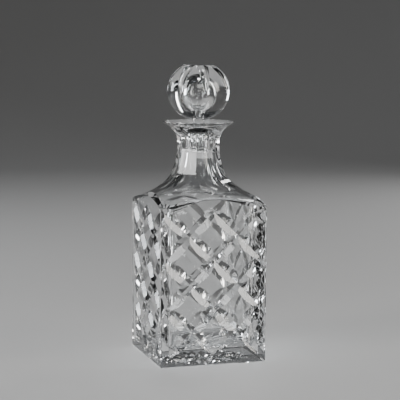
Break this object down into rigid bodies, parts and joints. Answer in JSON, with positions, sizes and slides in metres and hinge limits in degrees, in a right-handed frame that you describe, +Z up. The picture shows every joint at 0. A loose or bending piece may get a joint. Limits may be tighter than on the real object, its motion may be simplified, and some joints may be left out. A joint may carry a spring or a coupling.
{
  "type": "decanter",
  "caption": "Square cut-glass spirit decanter with arched shoulders, panelled neck, flared lip and a ground-in ball stopper that lifts out",
  "frame": {"origin": "centre of the square base, on the plane it stands on", "axes": "+Z up along the neck and the stopper, -Y out of one face of the square body, +X out of the face to its right"},
  "size_m": [0.09, 0.09, 0.2438],
  "materials": {
    "clear_crystal": "polished cut crystal, ground inside the socket",
    "stopper_crystal": "polished cut crystal, ground on the peg"
  },
  "bodies": {
    "bottle": {"bottle": "clear_crystal"},
    "stopper": {"stopper": "stopper_crystal"}
  },
  "joints": [
    {"name": "stopper_lift", "type": "slide", "parent": "bottle", "child": "stopper", "axis": [0, 0, 1], "range_m": [0, 0.06]}
  ]
}
